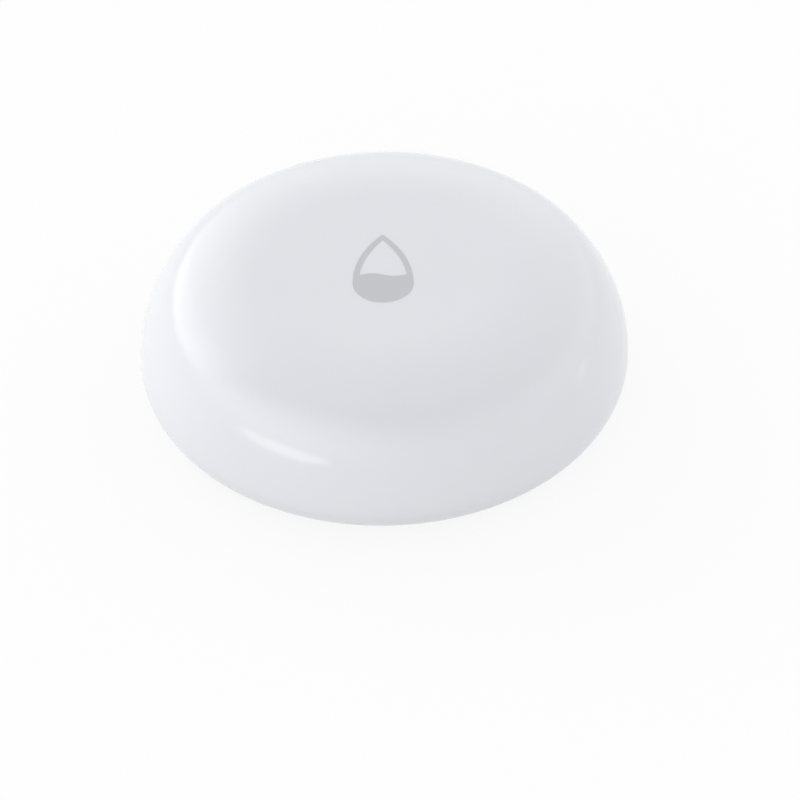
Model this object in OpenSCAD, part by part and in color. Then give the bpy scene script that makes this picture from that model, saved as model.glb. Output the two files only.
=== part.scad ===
// Round water leak sensor: a pebble-shaped cover pressed as one button over a sealed housing,
// a coin cell behind a twist-off lid, and two metal probes just above the floor.
// Millimetres. The floor is z = 0, the middle of the sensor is x = y = 0, and +Z is up.

/* [Body] */
// Diameter of the cover at its widest circle
body_d = 50; // [45:0.1:56]
// Height from the floor to the crown
body_h = 15; // [13.5:0.1:16.5]
// Height of the widest circle above the floor
rim_z = 4.1; // [3.8:0.1:4.6]
// Radius of the curve that rolls under below the widest circle
rim_curve_r = 4.2; // [4.1:0.1:5]
// Radius of the side curve as a multiple of the height above the widest circle
side_fullness = 1.2; // [1.14:0.01:1.28]

/* [Cover] */
// Wall of the cover's crown and side
cover_wall = 1.6; // [1.4:0.05:1.8]
// Wall of the cover's skirt at the widest circle
skirt_wall = 2.6; // [2.4:0.05:2.8]
// Height of the cover's lower edge above the floor
skirt_z = 0.55; // [0.5:0.05:0.7]
// Travel of the cover when it is pressed
press_travel = 0.35; // [0.2:0.05:0.4]
// Height of the snap bead inside the cover's lower edge
bead_h = 1.1; // [0.8:0.05:1.2]
// Reach of the snap bead under the housing's wall
bead_catch = 0.3; // [0.2:0.05:0.45]
// Diameter of the post that pushes the switch
post_d = 5; // [4:0.1:8]
// Length of that post as a share of the room between the board and the crown
post_share = 0.3; // [0.25:0.01:0.36]
// Number of stiffening ribs under the crown
crown_ribs = 6; // [3:1:9]
// Height of a stiffening rib under the crown
crown_rib_h = 1; // [0.6:0.1:1.4]
// Thickness of a stiffening rib under the crown
crown_rib_t = 0.9; // [0.6:0.1:1.2]

/* [Housing] */
// Height of the feet below the housing's floor
foot_h = 0.8; // [0.7:0.05:1]
// Width of a foot where it meets the housing
foot_w = 2.2; // [1.6:0.1:2.8]
// Sweep of one foot round the housing, in degrees
foot_sweep = 32; // [16:1:44]
// Number of feet
foot_count = 4; // [4:2:6]
// Wall of the housing
housing_wall = 2.2; // [2:0.05:2.4]
// Thickness of the housing's floor
housing_floor = 1.6; // [1.4:0.05:1.9]
// Depth of the snap step round the housing's lower edge
snap_step = 0.7; // [0.6:0.05:0.9]
// Diameter of a board post
board_post_d = 4.4; // [4:0.1:4.8]
// Thickness of the housing's inner ribs
housing_rib_t = 1; // [0.8:0.1:1.4]
// Height of the housing's inner ribs
housing_rib_h = 2; // [1:0.1:3]
// Width of the key that turns the board the right way round
key_w = 2; // [1.4:0.1:3]
// Depth of that key
key_depth = 1.1; // [0.8:0.1:1.4]

/* [Seals] */
// Section diameter of the cover's ring seal
cover_seal_d = 1.2; // [1:0.05:1.3]
// Section diameter of the lid's ring seal
lid_seal_d = 0.9; // [0.8:0.05:1]
// Squeeze of the lid's ring seal
lid_squeeze = 0.12; // [0.08:0.01:0.16]
// Section of a probe's ring seal as a share of the probe's diameter
probe_seal_share = 0.3; // [0.25:0.01:0.33]

/* [Battery lid] */
// Thickness of the lid's flange
lid_flange_t = 1.3; // [1.2:0.05:1.5]
// Wall of the lid's cup
lid_cup_wall = 0.9; // [0.8:0.05:1.1]
// Reach of a bayonet lug beyond the cup
lug_reach = 0.9; // [0.7:0.05:1.1]
// Thickness of a bayonet lug
lug_t = 0.9; // [0.7:0.05:1.1]
// Width of a bayonet lug, in degrees
lug_sweep = 34; // [20:1:38]
// Number of bayonet lugs
lug_count = 3; // [3:1:3]
// Thickness of the ledge that the lugs lock over
ledge_t = 1; // [0.9:0.05:1.2]
// Turn that frees the lid, in degrees
lid_turn = 40; // [38:1:44]
// Diameter of the disc that shapes the bottom of the coin slot
coin_d = 46; // [36:1:60]
// Width of the coin slot
coin_slot_w = 2; // [1.6:0.1:2.6]
// Depth of the coin slot in its middle
coin_slot_depth = 1; // [0.7:0.05:1.1]

/* [Coin cell] */
// Diameter of the coin cell
cell_d = 20; // [19.6:0.1:20.4]
// Height of the coin cell
cell_h = 3.2; // [2.5:0.1:3.4]
// Sheet thickness of the cell's can
can_t = 0.3; // [0.2:0.05:0.4]
// Radial width of the cell's sealing ring
gasket_w = 0.5; // [0.4:0.05:0.7]

/* [Probes] */
// Gap between a probe's nut and the walls beside it
nut_gap = 0.45; // [0.3:0.05:0.6]
// Width of a probe's nut as a multiple of the probe's diameter
nut_to_probe = 2; // [1.9:0.05:2.2]
// Diameter of a probe's head as a multiple of the probe's diameter
head_to_probe = 1.9; // [1.8:0.05:2.2]
// Height of a probe's head above the floor
probe_z = 0.35; // [0.25:0.05:0.5]
// Thickness of a probe's nut
nut_t = 1.6; // [1.2:0.1:1.8]
// Length of a probe's shank above its nut
probe_end = 0.6; // [0.4:0.1:0.9]

/* [Board] */
// Thickness of the circuit board
board_t = 1; // [0.8:0.1:1.2]
// Room under the board for the battery contacts
contact_room = 1.2; // [1:0.1:1.4]
// Diameter of a board screw's shank
screw_d = 2; // [1.8:0.1:2.2]
// Diameter of a board screw's head
screw_head_d = 3.6; // [3.2:0.1:4]
// Height of a board screw's head
screw_head_h = 1.3; // [1:0.1:1.6]
// Depth of a board screw in its post
screw_depth = 3.4; // [2.4:0.1:4]
// Width of the cross recess in a screw's head
cross_w = 0.5; // [0.4:0.05:0.6]
// Depth of that recess
cross_depth = 0.6; // [0.4:0.05:0.8]

/* [Switch] */
// Width of the square switch body
switch_w = 6; // [5:0.1:7]
// Thickness of the switch's metal frame
frame_t = 0.3; // [0.2:0.05:0.4]
// Diameter of the switch plunger
plunger_d = 3.5; // [3:0.1:4]
// Height of the plunger above the frame as a share of the room between the board and the crown
plunger_share = 0.16; // [0.14:0.01:0.18]
// Width of a switch terminal
terminal_w = 0.7; // [0.5:0.05:0.9]

/* [Board parts] */
// Radio chip: width, depth, height
radio_size = [6, 6, 0.85]; // [0.5:0.05:8]
// Memory chip: width, depth, height
memory_size = [3, 2, 0.75]; // [0.5:0.05:6]
// Crystal: width, depth, height
crystal_size = [3.2, 2.5, 0.7]; // [0.5:0.05:6]
// Chip antenna: width, depth, height
antenna_size = [7, 2, 1]; // [0.5:0.05:8]
// Buffer capacitor: width, depth, height
buffer_size = [3.5, 2.8, 1.9]; // [0.5:0.05:6]
// Status light: width, depth, height
led_size = [2, 1.25, 0.8]; // [0.5:0.05:4]
// Small capacitor: width, depth, height
capacitor_size = [1, 0.5, 0.5]; // [0.3:0.05:2]
// Small resistor: width, depth, height
resistor_size = [1, 0.5, 0.35]; // [0.3:0.05:2]
// Number of small capacitors, and of small resistors
passive_count = 6; // [1:1:6]

/* [Sheet metal] */
// Sheet thickness of the battery contacts and probe fingers
sheet_t = 0.2; // [0.15:0.01:0.25]
// Width of the positive contact
positive_w = 4; // [3:0.1:5]
// Number of fingers on the negative contact
negative_fingers = 3; // [2:1:4]
// Width of a finger of the negative contact
negative_w = 1.6; // [1:0.1:2]
// Width of a probe finger
finger_w = 2.2; // [1.4:0.1:2.6]

/* [Hidden] */
$fn = 96;

// Clearances
slide_gap = 0.2;
seal_gap = 0.06;
stop_gap = 0.05;
fit_gap = 0.1;
touch_gap = 0.02;
stop_angle_gap = 0.5;
notch_angle_gap = 1;
// How far joined forms run into each other, and how far a cut runs past the face that it opens
weld = 0.3;
over = 1;

// The side curve hands over to the shoulder, and the shoulder to the crown's gentle curve, on slopes of
// whole-number triangles, which keep all centres on short decimals, so that neighbouring arcs meet exactly
side_slope = [0.8, 0.6];
crown_slope = [0.28, 0.96];
function hundredths(v) = round(v * 100) / 100;
body_r = body_d / 2;
rim_c = [body_r - rim_curve_r, rim_z];
side_r = hundredths(side_fullness * (body_h - rim_z));
side_c = [body_r - side_r, rim_z];
// The shoulder and the crown's curve share the height that the side curve leaves
shoulder_fullness = 1.8;
crown_fall = body_h - rim_z - side_r * side_slope.y;
shoulder_r = hundredths(shoulder_fullness * crown_fall);
crown_r = (crown_fall - (crown_slope.y - side_slope.y) * shoulder_r) / (1 - crown_slope.y);
shoulder_c = side_c + (side_r - shoulder_r) * side_slope;
crown_c = shoulder_c - (crown_r - shoulder_r) * crown_slope;
ceiling_z = body_h - cover_wall;

// Fit between the cover and the housing
skirt_r = body_r - skirt_wall;
housing_r = skirt_r - slide_gap;
bead_r = housing_r - bead_catch;
step_r = housing_r - snap_step;
housing_in_r = housing_r - housing_wall;
bead_top = skirt_z + bead_h;
step_z = bead_top + stop_gap;
bead_lead = 0.3;
seal_groove_w = cover_seal_d + fit_gap;
seal_groove_r = skirt_r - seal_gap - cover_seal_d;
// The housing's wall stays under the cover's inner side curve when the cover is pressed
wall_top_room = 0.3;
wall_reach = housing_r + slide_gap - side_c.x;
inner_side_z = rim_z + sqrt(pow(side_r - cover_wall, 2) - pow(wall_reach, 2));
housing_top = inner_side_z - press_travel - wall_top_room;
seal_groove_z = (step_z + housing_top) / 2;

// Heights from the feet up through the lid, the cell and the board to the switch
base_z = foot_h;
floor_top = base_z + housing_floor;
lid_recess = 0.1;
lid_z = base_z + lid_recess;
flange_top = lid_z + lid_flange_t;
seat_z = flange_top + stop_gap;
ledge_top = seat_z + ledge_t;
lug_z = ledge_top + stop_gap;
lug_top = lug_z + lug_t;
cup_top = lug_top - fit_gap;
channel_top = lug_top + fit_gap;
shelf_t = 1;
shelf_top = channel_top + shelf_t;
cell_rest_h = 0.8;
cell_z = flange_top + cell_rest_h;
cell_top = cell_z + cell_h;
board_z = cell_top + contact_room;
board_top = board_z + board_t;
switch_room = ceiling_z - board_top;
post_z = ceiling_z - post_share * switch_room;
plunger_top = post_z - stop_gap;
frame_top = plunger_top - plunger_share * switch_room;
frame_z = frame_top - frame_t;
switch_h = frame_z - board_top;
plunger_root = switch_h / 2;
plunger_room = switch_h / 4;

// Radii from the cell out through the lid to the housing's ring space
cell_r = cell_d / 2;
cell_gap = 0.2;
cup_in_r = cell_r + cell_gap;
cup_r = cup_in_r + lid_cup_wall;
ledge_r = cup_r + fit_gap;
lug_r = cup_r + lug_reach;
notch_r = lug_r + fit_gap;
channel_r = lug_r + cell_gap;
well_wall = 1.2;
well_r = channel_r + well_wall;
shelf_r = cell_r + cell_gap + fit_gap;
lid_groove_w = lid_seal_d + fit_gap;
lid_groove_depth = lid_seal_d - lid_squeeze - stop_gap;
lid_seal_web = 0.3;
lid_seal_r = notch_r + lid_seal_web + lid_groove_w / 2;
flange_lip = 0.6;
flange_r = lid_seal_r + lid_groove_w / 2 + flange_lip;
recess_r = flange_r + slide_gap;
collar_wall = 0.9;
collar_r = recess_r + collar_wall;
lid_chamfer = 0.3;

// The ring space and what stands in it
ring_room = housing_in_r - collar_r;
nut_w = ring_room - 2 * nut_gap;
probe_d = nut_w / nut_to_probe;
probe_head_d = head_to_probe * probe_d;
probe_seal_d = probe_seal_share * probe_d;
probe_x = (collar_r + housing_in_r) / 2;
foot_r = (recess_r + step_r) / 2;
foot_draft = 0.3;
board_post_z = seat_z + stop_gap;
screw_r = (well_r + housing_in_r) / 2;
screw_angles = [90, 210, 330];
housing_rib_angles = [45, 135, 250, 290];
board_gap = 0.4;
board_r = housing_in_r - board_gap;

// Small forms
crown_rib_clear = 0.8;
crown_rib_end = crown_c.x - crown_rib_clear;
post_chamfer = 0.4;
housing_chamfer = 0.3;
probe_seal_depth = probe_seal_d - stop_gap;
probe_crown = 0.2;
probe_tip = 0.25;
nut_chamfer = 0.25;
screw_crown = 0.3;
plunger_edge = 0.2;
frame_tab_w = 2.4;
terminal_t = 0.15;
terminal_out = 1.3;
terminal_y = 2.2;
negative_pad_r = 2.5;
negative_low_r = 5.5;
negative_tip_r = 6.8;
finger_pad = 1.8;
chip_dot = [0.6, 0.08];
led_lens_inset = 0.25;
led_base_h = 0.3;
crystal_lid_inset = 0.15;
antenna_cap = [0.8, 0.06];
buffer_bevel = 0.35;
part_ring_r = board_r / 2;
part_angles = [200, 245, 290, 335];
board_notch_y = housing_in_r - key_depth - slide_gap;
antenna_edge = 1.9;
antenna_y = antenna_edge + antenna_size.y / 2 - board_notch_y;
led_gap = 1.6;
led_y = switch_w / 2 + terminal_out + led_gap + led_size.y / 2;
passive_edge = 6.6;
passive_r = board_r - passive_edge;
passive_angles = [15, 115];
passive_angle_step = 10;

// Half section of the pebble above its widest circle, moved in by inset
module upper_section(inset = 0) {
    reach = 2 * side_r;
    translate([0, rim_z]) square([crown_c.x, body_h - inset - rim_z]);
    intersection() {
        translate(side_c) circle(side_r - inset);
        polygon([side_c, side_c + [reach, 0], side_c + reach * side_slope]);
    }
    intersection() {
        translate(shoulder_c) circle(shoulder_r - inset);
        polygon([shoulder_c, shoulder_c + reach * side_slope, shoulder_c + reach * crown_slope]);
    }
    intersection() {
        translate(crown_c) circle(crown_r - inset);
        polygon([
            [crown_c.x, rim_z], [shoulder_c.x, rim_z], shoulder_c, shoulder_c + reach * crown_slope,
            [crown_c.x, rim_z + reach]
        ]);
    }
}

// Half section of the pebble from its lower edge to its widest circle
module lower_section() {
    translate([0, skirt_z]) square([rim_c.x, rim_z - skirt_z]);
    intersection() {
        translate(rim_c) circle(rim_curve_r);
        translate([rim_c.x, skirt_z]) square([2 * rim_curve_r, rim_z - skirt_z]);
    }
}

// Half section of the room inside the cover, with a lead-in below the snap bead
module cover_room_section() {
    lead_z = skirt_z + bead_lead;
    polygon([
        [0, skirt_z - over], [bead_r + bead_lead + over, skirt_z - over], [bead_r, lead_z], [bead_r, bead_top],
        [skirt_r, bead_top], [skirt_r, rim_z], [0, rim_z]
    ]);
    intersection() {
        upper_section(cover_wall);
        translate([0, rim_z]) square([skirt_r, body_h]);
    }
}

// Part of a ring between two radii and two heights, centred on an angle
module ring_part(r0, r1, z0, z1, middle, sweep) {
    rotate(middle - sweep / 2)
        rotate_extrude(angle = sweep)
            translate([r0, z0]) square([r1 - r0, z1 - z0]);
}

// Outline of a bent strip of thickness t along the middle line pts
function strip_normal(a, b) = let(d = (b - a) / norm(b - a)) [-d.y, d.x];
function strip_side(pts, i, h) =
    let(
        last = len(pts) - 1,
        n0 = strip_normal(pts[max(i - 1, 0)], pts[max(i, 1)]),
        n1 = strip_normal(pts[min(i, last - 1)], pts[min(i + 1, last)]),
        mitre = (n0 + n1) / (1 + n0 * n1)
    )
    pts[i] + h * mitre;
module strip(pts, t) {
    last = len(pts) - 1;
    polygon([
        for (i = [0 : last]) strip_side(pts, i, t / 2),
        for (i = [last : -1 : 0]) strip_side(pts, i, -t / 2)
    ]);
}

// The strip as sheet metal of width w, its outline standing in the plane of x and z
module sheet(pts, w) {
    translate([0, w / 2, 0]) rotate([90, 0, 0]) linear_extrude(w) strip(pts, sheet_t);
}

// A block of the given size that stands on the board at a place
module on_board(place, size) {
    translate([place.x - size.x / 2, place.y - size.y / 2, board_top]) cube(size);
}

function polar(r, a) = [r * cos(a), r * sin(a)];

module top_cover() {
    color("#f4f4f3") union() {
        rotate_extrude() difference() {
            union() {
                upper_section();
                lower_section();
            }
            cover_room_section();
        }
        translate([0, 0, post_z]) {
            cylinder(d1 = post_d - 2 * post_chamfer, d2 = post_d, h = post_chamfer);
            translate([0, 0, post_chamfer]) cylinder(d = post_d, h = ceiling_z - post_z - post_chamfer + weld);
        }
        for (i = [0 : crown_ribs - 1])
            rotate(i * 360 / crown_ribs)
                translate([post_d / 2 - weld, -crown_rib_t / 2, ceiling_z - crown_rib_h])
                    cube([crown_rib_end - post_d / 2 + weld, crown_rib_t, crown_rib_h + weld]);
    }
}

// Half section of the housing: floor, outer wall, lid collar, bayonet ledge and battery well
module housing_section() {
    difference() {
        polygon([
            [recess_r, base_z], [step_r - housing_chamfer, base_z], [step_r, base_z + housing_chamfer],
            [step_r, step_z], [housing_r, step_z], [housing_r, housing_top], [housing_in_r, housing_top],
            [housing_in_r, floor_top], [collar_r, floor_top], [collar_r, ledge_top], [well_r, ledge_top],
            [well_r, shelf_top], [shelf_r, shelf_top], [shelf_r, channel_top], [channel_r, channel_top],
            [channel_r, ledge_top], [ledge_r, ledge_top], [ledge_r, seat_z], [recess_r, seat_z]
        ]);
        translate([seal_groove_r, seal_groove_z - seal_groove_w / 2]) square([over + body_r, seal_groove_w]);
    }
}

// Block between two lugs that stops the lid at both ends of its turn
module lid_stop(lug_angle) {
    start = lug_angle + lug_sweep / 2 + stop_angle_gap;
    end = lug_angle + 360 / lug_count - lid_turn - lug_sweep / 2 - notch_angle_gap - stop_angle_gap;
    ring_part(
        ledge_r + fit_gap, channel_r + weld, ledge_top - weld, channel_top + weld,
        (start + end) / 2, end - start
    );
}

// One foot, narrower at the floor than at the housing
module foot(angle) {
    rotate(angle - foot_sweep / 2)
        rotate_extrude(angle = foot_sweep)
            polygon([
                [foot_r - foot_w / 2, base_z + weld], [foot_r - foot_w / 2, base_z],
                [foot_r - foot_w / 2 + foot_draft, 0], [foot_r + foot_w / 2 - foot_draft, 0],
                [foot_r + foot_w / 2, base_z], [foot_r + foot_w / 2, base_z + weld]
            ]);
}

// Upright rib from the battery well over the lid collar to the outer wall
module housing_rib(angle) {
    inner = well_r - weld;
    foot = collar_r - weld;
    outer = housing_in_r + weld;
    top = floor_top + housing_rib_h;
    rotate(angle) translate([0, housing_rib_t / 2, 0]) rotate([90, 0, 0]) linear_extrude(housing_rib_t)
        polygon([
            [inner, ledge_top - weld], [foot, ledge_top - weld], [foot, floor_top - weld],
            [outer, floor_top - weld], [outer, top], [inner, top]
        ]);
}

module base_housing() {
    color("#e9e9e7") difference() {
        union() {
            rotate_extrude() housing_section();
            for (i = [0 : lug_count - 1]) lid_stop(i * 360 / lug_count);
            for (i = [0 : foot_count - 1]) foot((i + 0.5) * 360 / foot_count);
            for (a = screw_angles)
                translate([each polar(screw_r, a), board_post_z])
                    cylinder(d = board_post_d, h = board_z - board_post_z);
            for (a = housing_rib_angles) housing_rib(a);
            translate([-key_w / 2, -housing_in_r - weld, floor_top - weld])
                cube([key_w, key_depth + weld, housing_top - floor_top + weld]);
        }
        for (i = [0 : lug_count - 1])
            ring_part(
                ledge_r - over, notch_r, seat_z - over, ledge_top + stop_gap,
                i * 360 / lug_count - lid_turn, lug_sweep + 2 * notch_angle_gap
            );
        for (a = screw_angles)
            translate([each polar(screw_r, a), board_z - screw_depth - fit_gap])
                cylinder(d = screw_d + 2 * touch_gap, h = screw_depth + over);
        for (side = [-1, 1]) translate([side * probe_x, 0, base_z - over]) {
            cylinder(d = probe_d + 2 * fit_gap, h = housing_floor + 2 * over);
            cylinder(d = probe_d + 2 * probe_seal_d + 2 * fit_gap, h = probe_seal_depth + over);
        }
        translate([-positive_w / 2 - weld, cell_r - over, channel_top - fit_gap])
            cube([positive_w + 2 * weld, well_r - cell_r + 2 * over, shelf_t + over]);
    }
}

module cover_seal() {
    color("#5b5d60") rotate_extrude()
        translate([seal_groove_r + cover_seal_d / 2, seal_groove_z]) circle(d = cover_seal_d);
}

module battery_lid() {
    slot_c = lid_z + coin_slot_depth - coin_d / 2;
    bar_w = coin_slot_w + 2 * lid_flange_t;
    color("#e9e9e7") difference() {
        union() {
            rotate_extrude() polygon([
                [0, lid_z], [flange_r - lid_chamfer, lid_z], [flange_r, lid_z + lid_chamfer],
                [flange_r, flange_top], [cup_r, flange_top], [cup_r, cup_top], [cup_in_r, cup_top],
                [cup_in_r, flange_top], [0, flange_top]
            ]);
            for (i = [0 : lug_count - 1])
                ring_part(cup_r - weld, lug_r, lug_z, lug_top, i * 360 / lug_count, lug_sweep);
            for (turn = [0, 90]) rotate(turn) translate([-cup_in_r + weld, -bar_w / 2, flange_top - weld])
                cube([2 * (cup_in_r - weld), bar_w, cell_rest_h + weld]);
        }
        translate([0, coin_slot_w / 2, slot_c]) rotate([90, 0, 0]) cylinder(d = coin_d, h = coin_slot_w);
        rotate_extrude() translate([lid_seal_r - lid_groove_w / 2, flange_top - lid_groove_depth])
            square([lid_groove_w, lid_groove_depth + stop_gap / 2]);
    }
}

// The ring stands in the flange's groove and is pressed flat where it meets the housing
module lid_seal() {
    floor_z = flange_top - lid_groove_depth;
    color("#5b5d60") rotate_extrude() intersection() {
        translate([lid_seal_r, floor_z + lid_seal_d / 2]) circle(d = lid_seal_d);
        translate([lid_seal_r - lid_seal_d, floor_z]) square([2 * lid_seal_d, seat_z - touch_gap - floor_z]);
    }
}

module circuit_board() {
    notch_w = key_w + 2 * slide_gap;
    color("#2f6b46") difference() {
        translate([0, 0, board_z]) cylinder(r = board_r, h = board_t);
        for (a = screw_angles) translate([each polar(screw_r, a), board_z - over])
            cylinder(d = screw_d + 2 * fit_gap, h = board_t + 2 * over);
        translate([-notch_w / 2, -board_notch_y - over - key_depth, board_z - over])
            cube([notch_w, over + key_depth, board_t + 2 * over]);
    }
}

module board_screws() {
    color("#b9bcc0") for (a = screw_angles) translate([each polar(screw_r, a), board_top]) difference() {
        rotate_extrude() polygon([
            [0, -board_t - screw_depth], [screw_d / 2 - screw_crown, -board_t - screw_depth],
            [screw_d / 2, -board_t - screw_depth + screw_crown], [screw_d / 2, 0], [screw_head_d / 2, 0],
            [screw_head_d / 2, screw_head_h - screw_crown], [screw_head_d / 2 - screw_crown, screw_head_h],
            [0, screw_head_h]
        ]);
        for (turn = [0, 90]) rotate(turn)
            translate([-screw_head_d / 3, -cross_w / 2, screw_head_h - cross_depth])
                cube([screw_head_d * 2 / 3, cross_w, cross_depth + over]);
    }
}

module switch_body() {
    color("#2b2c2e") difference() {
        on_board([0, 0], [switch_w, switch_w, switch_h]);
        translate([0, 0, board_top + plunger_room]) cylinder(d = plunger_d + 2 * fit_gap, h = switch_h);
    }
}

// Top plate with two tabs folded down over the sides of the switch body
module switch_frame() {
    color("#c9cbcd") difference() {
        union() {
            translate([-switch_w / 2 - frame_t, -switch_w / 2, frame_z])
                cube([switch_w + 2 * frame_t, switch_w, frame_t]);
            for (side = [0, 1]) mirror([side, 0, 0])
                translate([switch_w / 2, -frame_tab_w / 2, board_top + switch_h / 2])
                    cube([frame_t, frame_tab_w, switch_h / 2 + frame_t]);
        }
        translate([0, 0, frame_z - over]) cylinder(d = plunger_d + 2 * fit_gap, h = frame_t + 2 * over);
    }
}

module switch_plunger() {
    color("#d8d6d0") rotate_extrude() polygon([
        [0, board_top + plunger_root], [plunger_d / 2, board_top + plunger_root],
        [plunger_d / 2, plunger_top - plunger_edge], [plunger_d / 2 - plunger_edge, plunger_top], [0, plunger_top]
    ]);
}

// Four gull-wing legs against the two sides of the switch body that carry no tab
module switch_terminals() {
    leg = terminal_t / 2;
    path = [[switch_w / 2, switch_h / 3], [switch_w / 2 + terminal_out / 3, switch_h / 3],
        [switch_w / 2 + terminal_out / 3, leg], [switch_w / 2 + terminal_out, leg]];
    color("#c4b998") for (side = [90, 270], y = [-terminal_y, terminal_y])
        rotate(side) translate([0, y + terminal_w / 2, board_top]) rotate([90, 0, 0])
            linear_extrude(terminal_w) strip(path, terminal_t);
}

// A chip with a dot that marks its first corner
module marked_chip(place, size) {
    corner = [place.x - size.x / 2 + 2 * chip_dot.x, place.y + size.y / 2 - chip_dot.x];
    difference() {
        on_board(place, size);
        translate([each corner, board_top + size.z - chip_dot.y])
            cylinder(d = chip_dot.x, h = chip_dot.y + over);
    }
}

module radio_chip() {
    color("#242527") marked_chip(polar(part_ring_r, part_angles[0]), radio_size);
}

module memory_chip() {
    color("#242527") marked_chip(polar(part_ring_r, part_angles[2]), memory_size);
}

module crystal() {
    place = polar(part_ring_r, part_angles[1]);
    inset = 2 * crystal_lid_inset;
    color("#c9cbcd") union() {
        on_board(place, [crystal_size.x, crystal_size.y, crystal_size.z / 2]);
        on_board(place, crystal_size - [inset, inset, 0]);
    }
}

module chip_antenna() {
    caps = [antenna_cap.x, antenna_size.y, antenna_size.z + antenna_cap.y];
    color("#dfe4e6") union() {
        on_board([0, antenna_y], antenna_size);
        for (side = [-1, 1]) on_board([side * (antenna_size.x - caps.x) / 2, antenna_y], caps);
    }
}

module indicator_led() {
    inset = 2 * led_lens_inset;
    color("#eef0ea") union() {
        on_board([0, led_y], [led_size.x, led_size.y, led_base_h]);
        on_board([0, led_y], led_size - [inset, 0, 0]);
    }
}

module buffer_capacitor() {
    place = polar(part_ring_r, part_angles[3]);
    size = buffer_size;
    half = size.x / 2;
    bevel_z = size.z - buffer_bevel;
    color("#d39a2c") translate([place.x, place.y + size.y / 2, board_top]) rotate([90, 0, 0])
        linear_extrude(size.y) polygon([
            [-half, 0], [half, 0], [half, bevel_z], [half - buffer_bevel, size.z], [-half + buffer_bevel, size.z],
            [-half, bevel_z]
        ]);
}

// A row of small blocks round the board, each pointing outward
module passive_row(start, size) {
    for (i = [0 : passive_count - 1])
        rotate(start + i * passive_angle_step) on_board([passive_r, 0], size);
}

module small_capacitors() {
    color("#a98a62") passive_row(passive_angles[0], capacitor_size);
}

module small_resistors() {
    color("#303236") passive_row(passive_angles[1], resistor_size);
}

// Radii and heights at which the cell's can, sealing ring and cap meet
can_in_r = cell_r - can_t;
crimp_z = cell_z + cell_h - 2 * can_t;
crimp_r = can_in_r - gasket_w / 2;
cap_r = can_in_r - gasket_w;
cap_edge = 0.25;
can_edge = 0.25;

// Positive side of the cell, facing down, with its edge crimped over the sealing ring
module cell_can() {
    color("#c7c9cb") rotate_extrude() polygon([
        [0, cell_z], [cell_r - can_edge, cell_z], [cell_r, cell_z + can_edge], [cell_r, crimp_z + can_t],
        [crimp_r, crimp_z + can_t], [crimp_r, crimp_z], [can_in_r, crimp_z], [can_in_r, cell_z + can_t],
        [0, cell_z + can_t]
    ]);
}

module cell_gasket() {
    color("#3a3b3d") rotate_extrude() polygon([
        [cap_r, cell_z + can_t], [can_in_r, cell_z + can_t], [can_in_r, crimp_z], [crimp_r, crimp_z],
        [crimp_r, crimp_z + can_t], [cap_r, crimp_z + can_t]
    ]);
}

module cell_cap() {
    color("#b9bbbd") rotate_extrude() polygon([
        [0, cell_z + can_t], [cap_r, cell_z + can_t], [cap_r, cell_top - cap_edge], [cap_r - cap_edge, cell_top],
        [0, cell_top]
    ]);
}

// Round pad under the board with fingers that bend down to the cell's cap
module negative_contact() {
    pad_z = board_z - sheet_t / 2;
    low_z = cell_top + sheet_t / 2 + touch_gap;
    finger = [[negative_pad_r - weld, pad_z], [negative_low_r, low_z], [negative_tip_r, low_z + sheet_t]];
    color("#d9b75a") union() {
        translate([0, 0, board_z - sheet_t]) cylinder(r = negative_pad_r, h = sheet_t);
        for (i = [0 : negative_fingers - 1]) rotate(i * 360 / negative_fingers) sheet(finger, negative_w);
    }
}

// Tab that hangs from the board and bears on the side of the cell's can
module positive_contact() {
    pad_z = board_z - sheet_t / 2;
    face_r = cell_r + touch_gap + sheet_t / 2;
    low_z = channel_top + weld;
    path = [
        [well_r - weld, pad_z], [face_r + 2 * weld, pad_z], [face_r, pad_z - 2 * weld], [face_r, low_z + weld],
        [face_r + weld / 2, low_z]
    ];
    color("#d9b75a") rotate(90) sheet(path, positive_w);
}

// Post with a flat-domed head under the floor and a shank up to its spring finger
module probe(side) {
    head_r = probe_head_d / 2;
    end_z = floor_top + nut_t + probe_end;
    color("#cfd1d3") translate([side * probe_x, 0, 0]) rotate_extrude() polygon([
        [0, probe_z], [head_r - 2 * probe_crown, probe_z], [head_r, probe_z + probe_crown], [head_r, base_z],
        [probe_d / 2, base_z], [probe_d / 2, end_z - probe_tip], [probe_d / 2 - probe_tip, end_z], [0, end_z]
    ]);
}

// Ring squeezed between the head of a probe and the housing
module probe_seal(side) {
    color("#5b5d60") translate([side * probe_x, 0, 0]) rotate_extrude() intersection() {
        translate([(probe_d + probe_seal_d) / 2 + touch_gap, base_z + probe_seal_d / 2]) circle(d = probe_seal_d);
        translate([0, base_z]) square([probe_head_d, probe_seal_depth]);
    }
}

module probe_nut(side) {
    corner_r = nut_w / 2 / cos(30);
    color("#b9bcc0") translate([side * probe_x, 0, floor_top]) difference() {
        intersection() {
            rotate(30) cylinder(r = corner_r, h = nut_t, $fn = 6);
            rotate_extrude() polygon([
                [0, 0], [corner_r, 0], [corner_r, nut_t - nut_chamfer], [corner_r - 2 * nut_chamfer, nut_t],
                [0, nut_t]
            ]);
        }
        translate([0, 0, -over]) cylinder(d = probe_d + 2 * touch_gap, h = nut_t + 2 * over);
    }
}

// Bent finger under the board that bears on the end of a probe
module probe_spring(side) {
    pad_z = board_z - sheet_t / 2;
    low_z = floor_top + nut_t + probe_end + touch_gap + sheet_t / 2;
    path = [
        [collar_r - finger_pad, pad_z], [collar_r, pad_z], [probe_x - probe_d / 2, low_z],
        [probe_x + probe_d / 4, low_z], [probe_x + probe_d, low_z + 2 * sheet_t]
    ];
    color("#d9b75a") rotate(side > 0 ? 0 : 180) sheet(path, finger_w);
}

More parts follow.
